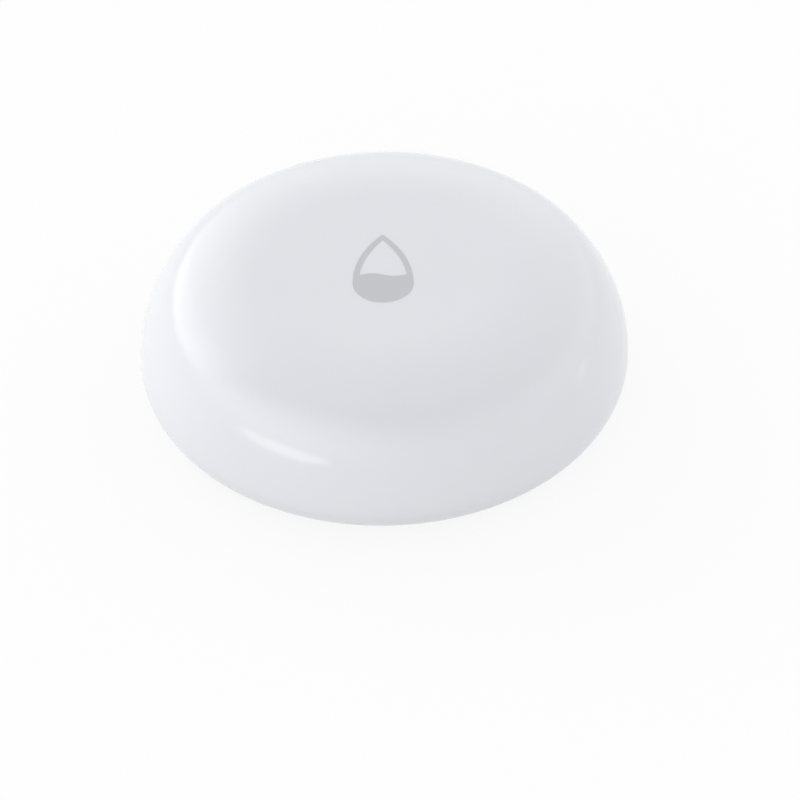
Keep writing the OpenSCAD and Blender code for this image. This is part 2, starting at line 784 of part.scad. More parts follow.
top_cover();
base_housing();
cover_seal();
battery_lid();
lid_seal();
circuit_board();
board_screws();
switch_body();
switch_frame();
switch_plunger();
switch_terminals();
radio_chip();
memory_chip();
crystal();
chip_antenna();
indicator_led();
buffer_capacitor();
small_capacitors();
small_resistors();
cell_can();
cell_gasket();
cell_cap();
negative_contact();
positive_contact();
probe(-1);  // probe_left
probe(1);  // probe_right
probe_seal(-1);  // probe_seal_left
probe_seal(1);  // probe_seal_right
probe_nut(-1);  // probe_nut_left
probe_nut(1);  // probe_nut_right
probe_spring(-1);  // probe_spring_left
probe_spring(1);  // probe_spring_right
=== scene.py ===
"""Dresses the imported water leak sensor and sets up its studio.

The frame gives every solid in metres, with the floor at z = 0 and the middle of the sensor at x = y = 0. The dome
cover is spun anew as a finer shell with a printed drop on its crown. The other solids keep their shape and get
their finishes here.
"""

import logging
import math
from dataclasses import dataclass
from enum import Enum

import bmesh
import bpy
from mathutils import Matrix, Quaternion, Vector


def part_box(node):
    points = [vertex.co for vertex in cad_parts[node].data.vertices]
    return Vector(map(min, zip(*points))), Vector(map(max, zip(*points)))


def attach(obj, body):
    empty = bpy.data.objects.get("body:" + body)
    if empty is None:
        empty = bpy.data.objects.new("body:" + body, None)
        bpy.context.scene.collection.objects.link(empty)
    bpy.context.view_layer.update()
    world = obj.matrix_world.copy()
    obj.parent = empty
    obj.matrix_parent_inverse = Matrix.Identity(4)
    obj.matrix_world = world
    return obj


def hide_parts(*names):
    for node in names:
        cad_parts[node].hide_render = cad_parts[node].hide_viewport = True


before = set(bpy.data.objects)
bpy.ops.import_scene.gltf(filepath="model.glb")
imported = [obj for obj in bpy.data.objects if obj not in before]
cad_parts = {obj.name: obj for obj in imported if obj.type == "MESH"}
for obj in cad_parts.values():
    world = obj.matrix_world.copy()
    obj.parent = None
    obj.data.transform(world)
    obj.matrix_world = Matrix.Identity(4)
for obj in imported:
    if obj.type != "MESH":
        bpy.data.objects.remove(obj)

LOG = logging.getLogger("leak_sensor")
MM = 0.001
MERGE_GAP = 1e-7
EVEN = (1.0, 1.0, 1.0)
Tone = tuple[float, float, float]
Place = tuple[float, float, float]


class Rider(Enum):
    """The moving bodies of the sensor that new pieces can ride on."""

    HOUSING = "housing"
    COVER = "cover"
    LID = "lid"


class Grain(Enum):
    """How the fine lines of a metal face run."""

    ROUND = "round"
    STRAIGHT = "straight"


@dataclass
class NodeBench:
    """A node tree with short calls for adding and joining its nodes."""

    tree: bpy.types.NodeTree

    def add(self, kind: str, **settings: object) -> bpy.types.Node:
        """Adds a node.

        Args:
            kind: Type name of the node.
            **settings: Properties to set on the new node.

        Returns:
            The new node.
        """
        node = self.tree.nodes.new(kind)
        for name, value in settings.items():
            setattr(node, name, value)
        return node

    def join(self, source: bpy.types.NodeSocket, target: bpy.types.NodeSocket) -> None:
        """Links an output socket to an input socket."""
        self.tree.links.new(source, target)

    def feed(self, target: bpy.types.NodeSocket, value: object) -> None:
        """Links a socket to a target, or writes a plain value on it.

        Args:
            target: Input socket to feed.
            value: Socket, number, colour or vector.
        """
        if isinstance(value, bpy.types.NodeSocket):
            self.join(value, target)
        else:
            target.default_value = value

    def math(self, operation: str, first: object, second: object = 0.0) -> bpy.types.NodeSocket:
        """Adds a Math node.

        Args:
            operation: Name of the operation.
            first: Socket or number for the first input.
            second: Socket or number for the second input.

        Returns:
            The result's socket.
        """
        node = self.add("ShaderNodeMath", operation=operation)
        self.feed(node.inputs[0], first)
        self.feed(node.inputs[1], second)
        return node.outputs[0]

    def noise(self, place: bpy.types.NodeSocket, scale: object, detail: float = 3.0) -> bpy.types.NodeSocket:
        """Adds a noise texture.

        Args:
            place: Coordinates that the noise reads.
            scale: Socket or number for its scale.
            detail: How many finer layers it has.

        Returns:
            The socket of its value, between 0 and 1.
        """
        node = self.add("ShaderNodeTexNoise")
        self.join(place, node.inputs["Vector"])
        self.feed(node.inputs["Scale"], scale)
        node.inputs["Detail"].default_value = detail
        return node.outputs["Fac"]

    def span(
        self, value: object, low: float, high: float, to_low: object = 0.0, to_high: object = 1.0
    ) -> bpy.types.NodeSocket:
        """Maps a value from one range to another.

        Args:
            value: Socket to map.
            low: Start of the input range.
            high: End of the input range.
            to_low: Result at the start.
            to_high: Result at the end.

        Returns:
            The mapped and clamped value's socket.
        """
        node = self.add("ShaderNodeMapRange", clamp=True)
        for socket, item in zip(node.inputs[:5], (value, low, high, to_low, to_high)):
            self.feed(socket, item)
        return node.outputs["Result"]

    def blend(self, share: object, first: object, second: object) -> bpy.types.NodeSocket:
        """Mixes two colours.

        Args:
            share: How much of the second colour shows.
            first: Socket or colour underneath.
            second: Socket or colour on top.

        Returns:
            The mixed colour's socket.
        """
        node = self.add("ShaderNodeMix", data_type="RGBA", clamp_factor=True)
        self.feed(node.inputs["Factor"], share)
        for socket, item in zip((node.inputs[6], node.inputs[7]), (first, second)):
            self.feed(socket, (*item, 1.0) if isinstance(item, tuple) and len(item) == 3 else item)
        return node.outputs[2]

    def place(self, stretch: Place = EVEN) -> bpy.types.NodeSocket:
        """Adds the piece's own coordinates.

        Args:
            stretch: How much each axis is stretched.

        Returns:
            The coordinates' socket.
        """
        source = self.add("ShaderNodeTexCoord").outputs["Object"]
        if stretch == EVEN:
            return source
        node = self.add("ShaderNodeMapping")
        node.inputs["Scale"].default_value = stretch
        self.join(source, node.inputs["Vector"])
        return node.outputs["Vector"]


class SharedEffects:
    """The surface effects that several finishes share, each built once as a node group."""

    FLOW_WEIGHT, FINE_WEIGHT = 0.75, 0.25
    FLOW_RANGE = (0.32, 0.68)
    HAIR_STRETCHES: tuple[Place, ...] = ((1.0, 0.035, 0.3), (0.04, 1.0, 0.3))
    HAIR_RANGE = (0.70, 0.76)
    SMEAR_RANGE = (0.52, 0.72)
    HAIR_WEIGHT, SMEAR_WEIGHT = 0.6, 0.5
    ROLLING_STRETCH: Place = (0.03, 1.0, 1.0)
    LEVEL_ONLY: Place = (1.0, 1.0, 0.0)

    def __init__(self) -> None:
        """Builds all groups."""
        self.moulding = self.build_moulding()
        self.handling = self.build_handling()
        self.round_lines = self.build_round_lines()
        self.straight_lines = self.build_straight_lines()

    @staticmethod
    def start(
        name: str, inputs: dict[str, tuple[str, object]], outputs: dict[str, str]
    ) -> tuple[NodeBench, bpy.types.Node, bpy.types.Node]:
        """Starts a node group.

        Args:
            name: Name of the group.
            inputs: Socket kind and default of each input by name.
            outputs: Socket kind of each output by name.

        Returns:
            The group's bench, its input node and its output node.
        """
        tree = bpy.data.node_groups.new(name, "ShaderNodeTree")
        for label, (kind, default) in inputs.items():
            socket = tree.interface.new_socket(label, in_out="INPUT", socket_type=kind)
            socket.default_value = default
        for label, kind in outputs.items():
            tree.interface.new_socket(label, in_out="OUTPUT", socket_type=kind)
        bench = NodeBench(tree)
        return bench, bench.add("NodeGroupInput"), bench.add("NodeGroupOutput")

    def build_moulding(self) -> bpy.types.NodeTree:
        """Builds the slow colour flow and the fine skin of a moulded surface.

        Returns:
            The group, with Color, Roughness and Height outputs.
        """
        bench, given, result = self.start(
            "moulded_skin",
            {
                "Tone": ("NodeSocketColor", (0.8, 0.8, 0.8, 1.0)),
                "Shade": ("NodeSocketColor", (0.75, 0.75, 0.75, 1.0)),
                "Roughness": ("NodeSocketFloat", 0.3),
                "Roughness Spread": ("NodeSocketFloat", 0.05),
                "Flow Scale": ("NodeSocketFloat", 60.0),
                "Skin Scale": ("NodeSocketFloat", 4000.0),
            },
            {"Color": "NodeSocketColor", "Roughness": "NodeSocketFloat", "Height": "NodeSocketFloat"},
        )
        place = bench.place()
        flow = bench.noise(place, given.outputs["Flow Scale"], 4.0)
        fine = bench.noise(place, given.outputs["Skin Scale"], 2.0)
        slow = bench.math("MULTIPLY", flow, self.FLOW_WEIGHT)
        quick = bench.math("MULTIPLY", fine, self.FINE_WEIGHT)
        share = bench.span(bench.math("ADD", slow, quick), *self.FLOW_RANGE)
        bench.join(bench.blend(share, given.outputs["Tone"], given.outputs["Shade"]), result.inputs["Color"])
        drift = bench.math("MULTIPLY", bench.math("SUBTRACT", flow, 0.5), given.outputs["Roughness Spread"])
        bench.join(bench.math("ADD", drift, given.outputs["Roughness"]), result.inputs["Roughness"])
        bench.join(fine, result.inputs["Height"])
        return bench.tree

    def build_handling(self) -> bpy.types.NodeTree:
        """Builds the faint hairlines and finger smears of a handled surface.

        Returns:
            The group, with a Mask output.
        """
        bench, given, result = self.start(
            "handling_marks",
            {"Scale": ("NodeSocketFloat", 300.0), "Smear Scale": ("NodeSocketFloat", 90.0)},
            {"Mask": "NodeSocketFloat"},
        )
        lines = []
        for stretch in self.HAIR_STRETCHES:
            hair = bench.noise(bench.place(stretch), given.outputs["Scale"], 1.0)
            lines.append(bench.span(hair, *self.HAIR_RANGE))
        smear = bench.span(bench.noise(bench.place(), given.outputs["Smear Scale"], 5.0), *self.SMEAR_RANGE)
        hairs = bench.math("MULTIPLY", bench.math("MAXIMUM", *lines), self.HAIR_WEIGHT)
        smears = bench.math("MULTIPLY", smear, self.SMEAR_WEIGHT)
        bench.join(bench.math("MAXIMUM", hairs, smears), result.inputs["Mask"])
        return bench.tree

    def build_round_lines(self) -> bpy.types.NodeTree:
        """Builds the turning lines round the Z axis of a stamped or turned metal face.

        Returns:
            The group, with a Lines output.
        """
        bench, given, result = self.start(
            "round_lines",
            {"Scale": ("NodeSocketFloat", 9000.0), "Centre": ("NodeSocketVector", (0.0, 0.0, 0.0))},
            {"Lines": "NodeSocketFloat"},
        )
        shift = bench.add("ShaderNodeVectorMath", operation="SUBTRACT")
        bench.join(bench.place(), shift.inputs[0])
        bench.join(given.outputs["Centre"], shift.inputs[1])
        flat = bench.add("ShaderNodeVectorMath", operation="MULTIPLY")
        flat.inputs[1].default_value = self.LEVEL_ONLY
        bench.join(shift.outputs[0], flat.inputs[0])
        length = bench.add("ShaderNodeVectorMath", operation="LENGTH")
        bench.join(flat.outputs[0], length.inputs[0])
        ring = bench.add("ShaderNodeCombineXYZ")
        bench.join(length.outputs["Value"], ring.inputs[0])
        bench.join(bench.noise(ring.outputs[0], given.outputs["Scale"], 3.0), result.inputs["Lines"])
        return bench.tree

    def build_straight_lines(self) -> bpy.types.NodeTree:
        """Builds the rolling lines of a sheet metal face.

        Returns:
            The group, with a Lines output.
        """
        bench, given, result = self.start(
            "rolling_lines", {"Scale": ("NodeSocketFloat", 5000.0)}, {"Lines": "NodeSocketFloat"}
        )
        lines = bench.noise(bench.place(self.ROLLING_STRETCH), given.outputs["Scale"], 3.0)
        bench.join(lines, result.inputs["Lines"])
        return bench.tree


@dataclass(frozen=True)
class Finish:
    """What every finish has: a name and one material built from the shared effects."""

    name: str

    def start(self) -> tuple[NodeBench, bpy.types.Node, bpy.types.Material]:
        """Starts an empty material.

        Returns:
            The material's bench, its Principled shader and the material.
        """
        material = bpy.data.materials.new(self.name)
        material.use_nodes = True
        bench = NodeBench(material.node_tree)
        return bench, material.node_tree.nodes["Principled BSDF"], material

    @staticmethod
    def place_group(bench: NodeBench, tree: bpy.types.NodeTree, **values: object) -> bpy.types.Node:
        """Places a shared effect in a material.

        Args:
            bench: The material's bench.
            tree: The node group.
            **values: Input values, with underscores for spaces in the inputs' names.

        Returns:
            The group's node.
        """
        node = bench.add("ShaderNodeGroup", node_tree=tree)
        for label, value in values.items():
            socket = node.inputs[label.replace("_", " ")]
            socket.default_value = (*value, 1.0) if socket.type == "RGBA" else value
        return node

    @staticmethod
    def relief(bench: NodeBench, shader: bpy.types.Node, height: bpy.types.NodeSocket, depth: float) -> None:
        """Feeds a height into the shader's normal.

        Args:
            bench: The material's bench.
            shader: The Principled shader.
            height: Height between 0 and 1.
            depth: Depth of the relief in metres.
        """
        bump = bench.add("ShaderNodeBump")
        bump.inputs["Distance"].default_value = depth
        bump.inputs["Strength"].default_value = 1.0
        bench.join(height, bump.inputs["Height"])
        bench.join(bump.outputs["Normal"], shader.inputs["Normal"])


@dataclass(frozen=True)
class Moulded(Finish):
    """Moulded plastic, rubber or epoxy, from high gloss to matt."""

    tone: Tone
    shade: Tone
    roughness: float
    spread: float = 0.05
    flow_scale: float = 60.0
    skin_scale: float = 4000.0
    skin_depth: float = 0.000004
    marks: float = 0.15
    ior: float = 1.5
    glow_depth: float = 0.0
    glow_weight: float = 0.25

    def build(self, effects: SharedEffects) -> bpy.types.Material:
        """Builds the material.

        Args:
            effects: The shared node groups.

        Returns:
            The finished material.
        """
        bench, shader, material = self.start()
        skin = self.place_group(
            bench, effects.moulding, Tone=self.tone, Shade=self.shade, Roughness=self.roughness,
            Roughness_Spread=self.spread, Flow_Scale=self.flow_scale, Skin_Scale=self.skin_scale,
        )
        handled = self.place_group(bench, effects.handling)
        bench.join(skin.outputs["Color"], shader.inputs["Base Color"])
        worn = bench.math("MULTIPLY", handled.outputs["Mask"], self.marks)
        bench.join(bench.math("ADD", skin.outputs["Roughness"], worn), shader.inputs["Roughness"])
        shader.inputs["IOR"].default_value = self.ior
        if self.glow_depth:
            shader.inputs["Subsurface Weight"].default_value = self.glow_weight
            shader.inputs["Subsurface Radius"].default_value = EVEN
            shader.inputs["Subsurface Scale"].default_value = self.glow_depth
        self.relief(bench, shader, skin.outputs["Height"], self.skin_depth)
        return material


@dataclass(frozen=True)
class Metal(Finish):
    """Turned, stamped or plated metal with fine lines and a little tarnish."""

    tone: Tone
    tarnish: Tone
    roughness: float
    grain: Grain = Grain.STRAIGHT
    grain_scale: float = 5000.0
    grain_depth: float = 0.000003
    centre: Place = (0.0, 0.0, 0.0)
    line_dull: float = 0.3
    line_rough: float = 0.2
    smear_dull: float = 0.5
    smear_rough: float = 0.12

    def build(self, effects: SharedEffects) -> bpy.types.Material:
        """Builds the material.

        Args:
            effects: The shared node groups.

        Returns:
            The finished material.
        """
        bench, shader, material = self.start()
        if self.grain is Grain.ROUND:
            lines = self.place_group(bench, effects.round_lines, Scale=self.grain_scale, Centre=self.centre)
        else:
            lines = self.place_group(bench, effects.straight_lines, Scale=self.grain_scale)
        handled = self.place_group(bench, effects.handling)
        shader.inputs["Metallic"].default_value = 1.0
        grooves, smears = lines.outputs["Lines"], handled.outputs["Mask"]
        smear_tone = bench.math("MULTIPLY", smears, self.smear_dull)
        dull = bench.math("ADD", smear_tone, bench.math("MULTIPLY", grooves, self.line_dull))
        bench.join(bench.blend(dull, self.tone, self.tarnish), shader.inputs["Base Color"])
        smoothest = self.roughness - self.line_rough / 2
        rough = bench.math("ADD", bench.math("MULTIPLY", grooves, self.line_rough), smoothest)
        rough = bench.math("ADD", rough, bench.math("MULTIPLY", smears, self.smear_rough))
        bench.join(rough, shader.inputs["Roughness"])
        self.relief(bench, shader, grooves, self.grain_depth)
        return material


@dataclass(frozen=True)
class SolderMask(Finish):
    """Green solder mask with raised tracks and small plated holes over glass laminate."""

    tone: Tone
    track: Tone
    plating: Tone
    track_scale: float = 0.35 / (1.3 * MM)
    track_edge: tuple[float, float] = (0.05, 0.07)
    hole_scale: float = 0.6 / (1.3 * MM)
    hole_edge: tuple[float, float] = (0.09, 0.11)
    weave_shade: float = 0.8
    weave_height: float = 0.2
    depth: float = 0.00003

    def build(self, effects: SharedEffects) -> bpy.types.Material:
        """Builds the material.

        Args:
            effects: The shared node groups.

        Returns:
            The finished material.
        """
        bench, shader, material = self.start()
        place = bench.place()
        cells = bench.add("ShaderNodeTexVoronoi", feature="DISTANCE_TO_EDGE", voronoi_dimensions="2D")
        bench.join(place, cells.inputs["Vector"])
        cells.inputs["Scale"].default_value = self.track_scale
        tracks = bench.span(cells.outputs["Distance"], *self.track_edge, 1.0, 0.0)
        dots = bench.add("ShaderNodeTexVoronoi", feature="F1", voronoi_dimensions="2D")
        bench.join(place, dots.inputs["Vector"])
        dots.inputs["Scale"].default_value = self.hole_scale
        holes = bench.span(dots.outputs["Distance"], *self.hole_edge, 1.0, 0.0)
        weave = self.place_group(
            bench, effects.moulding, Tone=self.tone, Shade=tuple(self.weave_shade * part for part in self.tone),
            Roughness=0.32, Roughness_Spread=0.1, Flow_Scale=150.0, Skin_Scale=2500.0,
        )
        painted = bench.blend(tracks, weave.outputs["Color"], self.track)
        bench.join(bench.blend(holes, painted, self.plating), shader.inputs["Base Color"])
        bench.join(holes, shader.inputs["Metallic"])
        bench.join(weave.outputs["Roughness"], shader.inputs["Roughness"])
        threads = bench.math("MULTIPLY", weave.outputs["Height"], self.weave_height)
        self.relief(bench, shader, bench.math("ADD", tracks, threads), self.depth)
        return material


@dataclass(frozen=True)
class PrintInk(Finish):
    """Thin grey pad-print ink."""

    tone: Tone
    shade: Tone
    skin_depth: float = 0.000002

    def build(self, effects: SharedEffects) -> bpy.types.Material:
        """Builds the material.

        Args:
            effects: The shared node groups.

        Returns:
            The finished material.
        """
        bench, shader, material = self.start()
        skin = self.place_group(
            bench, effects.moulding, Tone=self.tone, Shade=self.shade, Roughness=0.34, Roughness_Spread=0.08,
            Flow_Scale=500.0, Skin_Scale=9000.0,
        )
        bench.join(skin.outputs["Color"], shader.inputs["Base Color"])
        bench.join(skin.outputs["Roughness"], shader.inputs["Roughness"])
        self.relief(bench, shader, skin.outputs["Height"], self.skin_depth)
        return material


COVER_GLOSS = Moulded(
    "cover_gloss", tone=(0.726, 0.738, 0.772), shade=(0.708, 0.72, 0.754), roughness=0.13, spread=0.03,
    flow_scale=45.0, skin_scale=2600.0, skin_depth=0.0000012, marks=0.05, ior=1.58, glow_depth=0.0006,
)
HOUSING_SATIN = Moulded(
    "housing_satin", tone=(0.70, 0.70, 0.70), shade=(0.66, 0.66, 0.658), roughness=0.46, spread=0.08,
    flow_scale=70.0, skin_scale=5200.0, skin_depth=0.00001, marks=0.12,
)
SEAL_RUBBER = Moulded(
    "seal_rubber", tone=(0.055, 0.056, 0.058), shade=(0.04, 0.04, 0.042), roughness=0.62, spread=0.1,
    flow_scale=200.0, skin_scale=5000.0, skin_depth=0.000008, marks=0.1, ior=1.45,
)
CHIP_EPOXY = Moulded(
    "chip_epoxy", tone=(0.022, 0.022, 0.024), shade=(0.014, 0.014, 0.015), roughness=0.55, spread=0.1,
    flow_scale=500.0, skin_scale=9000.0, skin_depth=0.000006, marks=0.08,
)
PLUNGER_SATIN = Moulded(
    "plunger_satin", tone=(0.62, 0.61, 0.57), shade=(0.56, 0.55, 0.51), roughness=0.42, spread=0.06,
    flow_scale=300.0, skin_scale=6000.0, skin_depth=0.000005, marks=0.1,
)
ANTENNA_CERAMIC = Moulded(
    "antenna_ceramic", tone=(0.72, 0.76, 0.77), shade=(0.64, 0.68, 0.7), roughness=0.36, spread=0.08,
    flow_scale=600.0, skin_scale=9000.0, skin_depth=0.000004, marks=0.08, ior=1.7,
)
LED_RESIN = Moulded(
    "led_resin", tone=(0.86, 0.86, 0.78), shade=(0.8, 0.8, 0.7), roughness=0.18, spread=0.04,
    flow_scale=700.0, skin_scale=9000.0, skin_depth=0.000001, marks=0.05, ior=1.5, glow_depth=0.0004,
)
CAPACITOR_EPOXY = Moulded(
    "capacitor_epoxy", tone=(0.62, 0.31, 0.03), shade=(0.55, 0.26, 0.02), roughness=0.44, spread=0.08,
    flow_scale=500.0, skin_scale=8000.0, skin_depth=0.000006, marks=0.1,
)
CAPACITOR_CERAMIC = Moulded(
    "capacitor_ceramic", tone=(0.36, 0.23, 0.11), shade=(0.28, 0.17, 0.08), roughness=0.4, spread=0.08,
    flow_scale=900.0, skin_scale=9000.0, skin_depth=0.000004, marks=0.08, ior=1.7,
)
BRIGHT_STEEL = Metal("bright_nickel", tone=(0.66, 0.66, 0.67), tarnish=(0.5, 0.49, 0.47), roughness=0.26)
SPRING_METAL = Metal("gold_flashed_spring", tone=(0.86, 0.66, 0.28), tarnish=(0.7, 0.48, 0.18), roughness=0.28)
CELL_STEEL = Metal(
    "stainless_can", tone=(0.66, 0.67, 0.68), tarnish=(0.55, 0.55, 0.55), roughness=0.28, grain=Grain.ROUND,
    grain_scale=9000.0,
)
MASK_GREEN = SolderMask(
    "solder_mask", tone=(0.015, 0.11, 0.045), track=(0.03, 0.19, 0.075), plating=(0.8, 0.66, 0.3)
)
DROP_INK = PrintInk("drop_ink", tone=(0.514, 0.526, 0.554), shade=(0.5, 0.512, 0.539))
MARK_INK = PrintInk("mark_ink", tone=(0.3, 0.305, 0.315), shade=(0.28, 0.285, 0.295))


def only_verts(geometry: list[object]) -> list[bmesh.types.BMVert]:
    """The vertices among a mesh operation's results."""
    return [item for item in geometry if isinstance(item, bmesh.types.BMVert)]


@dataclass
class Outline:
    """A line of edges in a mesh that grows from its last vertex by straight runs and arcs."""

    mesh: bmesh.types.BMesh
    tip: bmesh.types.BMVert

    @classmethod
    def begin(cls, mesh: bmesh.types.BMesh, start: Vector) -> "Outline":
        """Starts an outline at a point."""
        return cls(mesh, mesh.verts.new(start))

    def run(self, to: Vector) -> "Outline":
        """Runs straight to a point.

        Args:
            to: End of the run.

        Returns:
            The outline itself.
        """
        grown = bmesh.ops.extrude_vert_indiv(self.mesh, verts=[self.tip])
        self.tip = grown["verts"][0]
        self.tip.co = to
        return self

    def arc(self, centre: Vector, axis: Vector, degrees: float, steps: int) -> "Outline":
        """Turns round a centre.

        Args:
            centre: Centre of the arc.
            axis: Axis that the arc turns about.
            degrees: Angle of the arc.
            steps: Number of edges in it.

        Returns:
            The outline itself.
        """
        grown = bmesh.ops.spin(
            self.mesh, geom=[self.tip], cent=centre, axis=axis, angle=math.radians(degrees), steps=steps,
            use_duplicate=False,
        )
        self.tip = only_verts(grown["geom_last"])[0]
        return self


def finish_piece(
    mesh: bmesh.types.BMesh, name: str, material: bpy.types.Material, rider: Rider,
    sharp_degrees: float = 40.0,
) -> bpy.types.Object:
    """Turns a bmesh into a smooth-shaded piece that rides on a body.

    Args:
        mesh: The finished bmesh, which is freed.
        name: Name of the piece.
        material: Its finish.
        rider: The body that it moves with.
        sharp_degrees: Edges over this angle stay sharp.

    Returns:
        The new object.
    """
    data = bpy.data.meshes.new(name)
    mesh.to_mesh(data)
    mesh.free()
    data.polygons.foreach_set("use_smooth", [True] * len(data.polygons))
    data.set_sharp_from_angle(angle=math.radians(sharp_degrees))
    data.materials.append(material)
    piece = bpy.data.objects.new(name, data)
    bpy.context.scene.collection.objects.link(piece)
    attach(piece, rider.value)
    LOG.info("%s: %d faces, rides on %s", name, len(data.polygons), rider.value)
    return piece


def dress(node: str, material: bpy.types.Material) -> None:
    """Gives a solid of the frame its finish and smooth faces.

    Args:
        node: Name of the solid.
        material: Its finish.
    """
    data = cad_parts[node].data
    data.materials.clear()
    data.materials.append(material)
    data.polygons.foreach_set("use_smooth", [True] * len(data.polygons))
    LOG.info("%s: dressed with %s", node, material.name)


@dataclass
class DomeCover:
    """The pebble-shaped cover that is pressed as one button, with the drop on its crown.

    Its outside is four arcs from rim to crown, each given by its centre in the half section and its radius. A turn is
    the sine and cosine of an arc's angle. Sizes are in millimetres.
    """

    rim: tuple[float, float] = (20.8, 4.1)
    rim_r: float = 4.2
    side: tuple[float, float] = (11.92, 4.1)
    side_r: float = 13.08
    side_turn: tuple[float, float] = (0.6, 0.8)
    shoulder: tuple[float, float] = (17.992, 8.654)
    shoulder_r: float = 5.49
    crown: tuple[float, float] = (12.0, -11.89)
    crown_r: float = 26.89
    crown_turn: tuple[float, float] = (0.28, 0.96)
    wall: float = 1.6
    skirt_r: float = 22.4
    bead_r: float = 21.9
    bead_top: float = 1.65
    lead: float = 0.3
    edge_z: float = 0.55
    post_r: float = 2.5
    post_z: float = 11.9
    post_chamfer: float = 0.4
    post_steps: int = 64
    rib_count: int = 6
    rib_end: float = 11.2
    rib_h: float = 1.0
    rib_t: float = 0.9
    corner_r: float = 0.08
    corner_degrees: float = 30.0
    smooth_degrees: float = 25.0
    inner_steps: tuple[int, int, int] = (5, 6, 5)
    outer_steps: tuple[int, int, int, int] = (16, 24, 18, 14)
    round_steps: int = 224
    ink_t: float = 0.01
    drop_r: float = 3.1
    drop_tip: float = 5.4
    drop_stroke: float = 0.62
    drop_level: float = -1.0
    drop_wave: float = 0.24
    drop_steps: tuple[int, int] = (32, 40)
    wave_cuts: int = 30

    @property
    def top(self) -> float:
        """Height of the crown."""
        return self.crown[1] + self.crown_r

    @property
    def drop_base(self) -> float:
        """Where the middle of the drop's round foot lies."""
        return self.drop_r - self.drop_tip

    @property
    def arch_r(self) -> float:
        """Radius of the drop's two sides, which run from the foot to the tip."""
        return ((self.drop_tip - self.drop_base) ** 2 + self.drop_r**2) / (2 * self.drop_r)

    @staticmethod
    def at(r: float, z: float) -> Vector:
        """A point of the half section in metres."""
        return Vector((r * MM, 0.0, z * MM))

    def build_shell(self) -> bmesh.types.BMesh:
        """Spins the half section of the cover into a shell.

        Returns:
            The shell's bmesh.
        """
        shell = bmesh.new()
        axis = Vector((0.0, 1.0, 0.0))
        side_turn = math.degrees(math.atan2(*self.side_turn))
        crown_turn = math.degrees(math.atan2(*self.crown_turn))
        shoulder_turn = 90.0 - side_turn - crown_turn
        ceiling = self.top - self.wall
        inner_side = math.degrees(math.acos((self.skirt_r - self.side[0]) / (self.side_r - self.wall)))
        edge_turn = math.degrees(math.asin((self.rim[1] - self.edge_z) / self.rim_r))
        edge_r = self.rim[0] + self.rim_r * math.cos(math.radians(edge_turn))
        line = Outline.begin(shell, self.at(0.0, ceiling)).run(self.at(self.crown[0], ceiling))
        inside = (
            (self.crown, crown_turn), (self.shoulder, shoulder_turn), (self.side, side_turn - inner_side)
        )
        for (centre, turn), steps in zip(inside, self.inner_steps):
            line.arc(self.at(*centre), axis, turn, steps)
        line.run(self.at(self.skirt_r, self.bead_top)).run(self.at(self.bead_r, self.bead_top))
        line.run(self.at(self.bead_r, self.edge_z + self.lead)).run(self.at(self.bead_r + self.lead, self.edge_z))
        line.run(self.at(edge_r, self.edge_z))
        outside = (
            (self.rim, edge_turn), (self.side, side_turn), (self.shoulder, shoulder_turn), (self.crown, crown_turn)
        )
        for (centre, turn), steps in zip(outside, self.outer_steps):
            line.arc(self.at(*centre), -axis, turn, steps)
        line.run(self.at(0.0, self.top))
        bmesh.ops.spin(
            shell, geom=shell.verts[:] + shell.edges[:], cent=(0.0, 0.0, 0.0), axis=(0.0, 0.0, 1.0),
            angle=math.tau, steps=self.round_steps, use_merge=True, use_duplicate=False,
        )
        bmesh.ops.remove_doubles(shell, verts=shell.verts[:], dist=MERGE_GAP)
        bmesh.ops.recalc_face_normals(shell, faces=shell.faces[:])
        bend = math.radians(self.corner_degrees)
        joined = (edge for edge in shell.edges if len(edge.link_faces) == 2)
        corners = [edge for edge in joined if edge.calc_face_angle(0.0) > bend]
        bmesh.ops.bevel(
            shell, geom=corners, offset=self.corner_r * MM, affect="EDGES", segments=2, profile=0.5, material=-1
        )
        return shell

    def add_inside(self, shell: bmesh.types.BMesh) -> None:
        """Adds the switch post and the stiffening ribs under the crown.

        Args:
            shell: The cover's bmesh.
        """
        ceiling = self.top - self.wall
        step_z = self.post_z + self.post_chamfer
        tip = (self.post_r - self.post_chamfer, self.post_z, self.post_chamfer)
        stem = (self.post_r, step_z, ceiling - step_z)
        for low_r, low, height in (tip, stem):
            bmesh.ops.create_cone(
                shell, cap_ends=True, segments=self.post_steps, radius1=low_r * MM, radius2=self.post_r * MM,
                depth=height * MM, matrix=Matrix.Translation((0.0, 0.0, (low + height / 2) * MM)),
            )
        length = self.rib_end - self.post_r
        for index in range(self.rib_count):
            size = Matrix.Diagonal((length * MM, self.rib_t * MM, self.rib_h * MM, 1.0))
            place = Matrix.Translation(((self.post_r + length / 2) * MM, 0.0, (ceiling - self.rib_h / 2) * MM))
            turn = Matrix.Rotation(index * math.tau / self.rib_count, 4, "Z")
            bmesh.ops.create_cube(shell, size=1.0, matrix=turn @ place @ size)

    def inside_stroke(self, edge: bmesh.types.BMEdge) -> bool:
        """Tells whether an edge of the drop's two outlines is part of the inner one.

        Args:
            edge: The edge.

        Returns:
            True for the inner outline.
        """
        middle = (edge.verts[0].co + edge.verts[1].co) / (2 * MM)
        height = middle.y - self.drop_base
        if height < 0.0:
            return math.hypot(middle.x, height) < self.drop_r - self.drop_stroke / 2
        return math.hypot(abs(middle.x) - self.drop_r + self.arch_r, height) < self.arch_r - self.drop_stroke / 2

